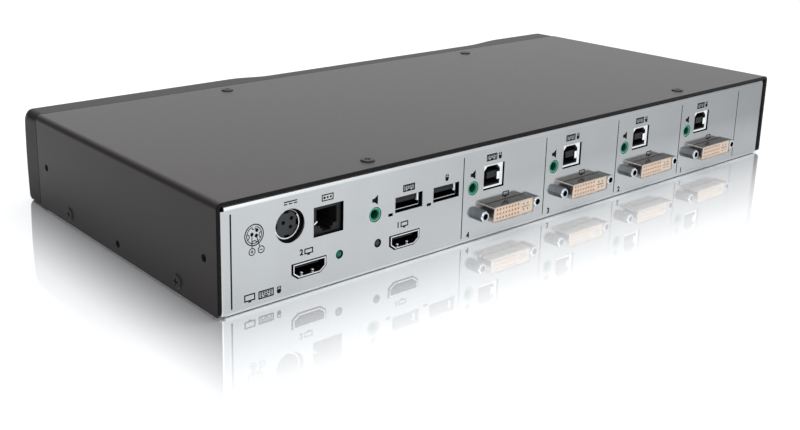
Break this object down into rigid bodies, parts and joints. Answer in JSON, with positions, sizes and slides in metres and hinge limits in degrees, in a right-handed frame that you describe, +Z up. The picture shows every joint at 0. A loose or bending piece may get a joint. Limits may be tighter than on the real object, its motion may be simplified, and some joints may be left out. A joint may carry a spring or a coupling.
{
  "type": "kvm switch",
  "caption": "Low metal switch box for keyboard, video and mouse signals, with a panel of sockets at the back and channel buttons on the front.",
  "frame": {"origin": "on the underside, which rests on the table: midway across the width and 79 mm in front of the outer face of the rear socket panel", "axes": "+Z up, +Y out of the rear socket panel, -Y out of the button side, +X to the right when facing the buttons"},
  "size_m": [0.3582, 0.1731, 0.0446],
  "materials": {
    "tray_steel": "smooth silver-lacquered sheet, glossy",
    "cover_paint": "dark grey fine-texture powder coat",
    "black_screws": "black satin",
    "bezel_plastic": "black, fine moulded texture",
    "button_plastic": "mid grey, satin",
    "black_plastic": "black, satin",
    "circuit_board": "green solder mask",
    "clear_plastic": "clear polished",
    "green_led": "green tinted",
    "dark_led": "dark tinted lens, unlit",
    "ribbon_grey": "grey cable sheath",
    "cream_plastic": "off-white nylon",
    "plated_steel": "bright tin or nickel plate",
    "dvi_steel": "dull tin plate, slightly mottled",
    "jackscrew_steel": "dark nickel plate",
    "brass_parts": "machined",
    "chip_epoxy": "black moulded epoxy",
    "heat_sink_aluminium": "extruded, bead blasted",
    "capacitor_sleeve": "dark blue sleeve",
    "coil_core": "dark ferrite",
    "dark_insulator": "dark grey",
    "gold_contacts": "gold flash",
    "dvi_insulator": "cream",
    "green_plastic": "green"
  },
  "bodies": {
    "case": {"base_tray": "tray_steel", "top_cover": "cover_paint", "cover_screws": "black_screws", "front_bezel": "bezel_plastic", "button_board": "circuit_board", "tact_switches": "black_plastic", "light_pipes": "clear_plastic", "status_leds": "green_led", "ribbon_cable": "ribbon_grey", "ribbon_sockets": "cream_plastic", "lower_board": "circuit_board", "upper_board": "circuit_board", "tray_standoffs": "plated_steel", "board_spacers": "brass_parts", "board_screws": "plated_steel", "board_link": "black_plastic", "chips": "chip_epoxy", "heat_sink": "heat_sink_aluminium", "capacitors": "capacitor_sleeve", "power_coil": "coil_core", "power_jack_housing": "black_plastic", "power_jack_shield": "plated_steel", "power_jack_core": "dark_insulator", "remote_jack": "black_plastic", "idle_led": "dark_led", "hdmi_shell_1": "plated_steel", "hdmi_shell_2": "plated_steel", "hdmi_tongues": "black_plastic", "usb_a_shell_1": "plated_steel", "usb_a_shell_2": "plated_steel", "usb_a_tongues": "black_plastic", "usb_b_shell_1": "plated_steel", "usb_b_shell_2": "plated_steel", "usb_b_shell_3": "plated_steel", "usb_b_shell_4": "plated_steel", "usb_b_cores": "black_plastic", "dvi_shell_1": "dvi_steel", "dvi_shell_2": "dvi_steel", "dvi_shell_3": "dvi_steel", "dvi_shell_4": "dvi_steel", "dvi_core_1": "dvi_insulator", "dvi_core_2": "dvi_insulator", "dvi_core_3": "dvi_insulator", "dvi_core_4": "dvi_insulator", "dvi_jackscrews": "jackscrew_steel", "console_audio_jack": "green_plastic", "audio_jack_1": "green_plastic", "audio_jack_2": "green_plastic", "audio_jack_3": "green_plastic", "audio_jack_4": "green_plastic", "socket_contacts": "gold_contacts"},
    "button_1": {"channel_button_1": "button_plastic", "switch_plunger_1": "black_plastic"},
    "button_2": {"channel_button_2": "button_plastic", "switch_plunger_2": "black_plastic"},
    "button_3": {"channel_button_3": "button_plastic", "switch_plunger_3": "black_plastic"},
    "button_4": {"channel_button_4": "button_plastic", "switch_plunger_4": "black_plastic"}
  },
  "joints": [
    {"name": "button_1_press", "type": "slide", "parent": "case", "child": "button_1", "axis": [0, 1, 0], "range_m": [0, 0.0008], "stiffness_N_per_m": 600, "springref_m": -0.0015},
    {"name": "button_2_press", "type": "slide", "parent": "case", "child": "button_2", "axis": [0, 1, 0], "range_m": [0, 0.0008], "stiffness_N_per_m": 600, "springref_m": -0.0015},
    {"name": "button_3_press", "type": "slide", "parent": "case", "child": "button_3", "axis": [0, 1, 0], "range_m": [0, 0.0008], "stiffness_N_per_m": 600, "springref_m": -0.0015},
    {"name": "button_4_press", "type": "slide", "parent": "case", "child": "button_4", "axis": [0, 1, 0], "range_m": [0, 0.0008], "stiffness_N_per_m": 600, "springref_m": -0.0015}
  ]
}
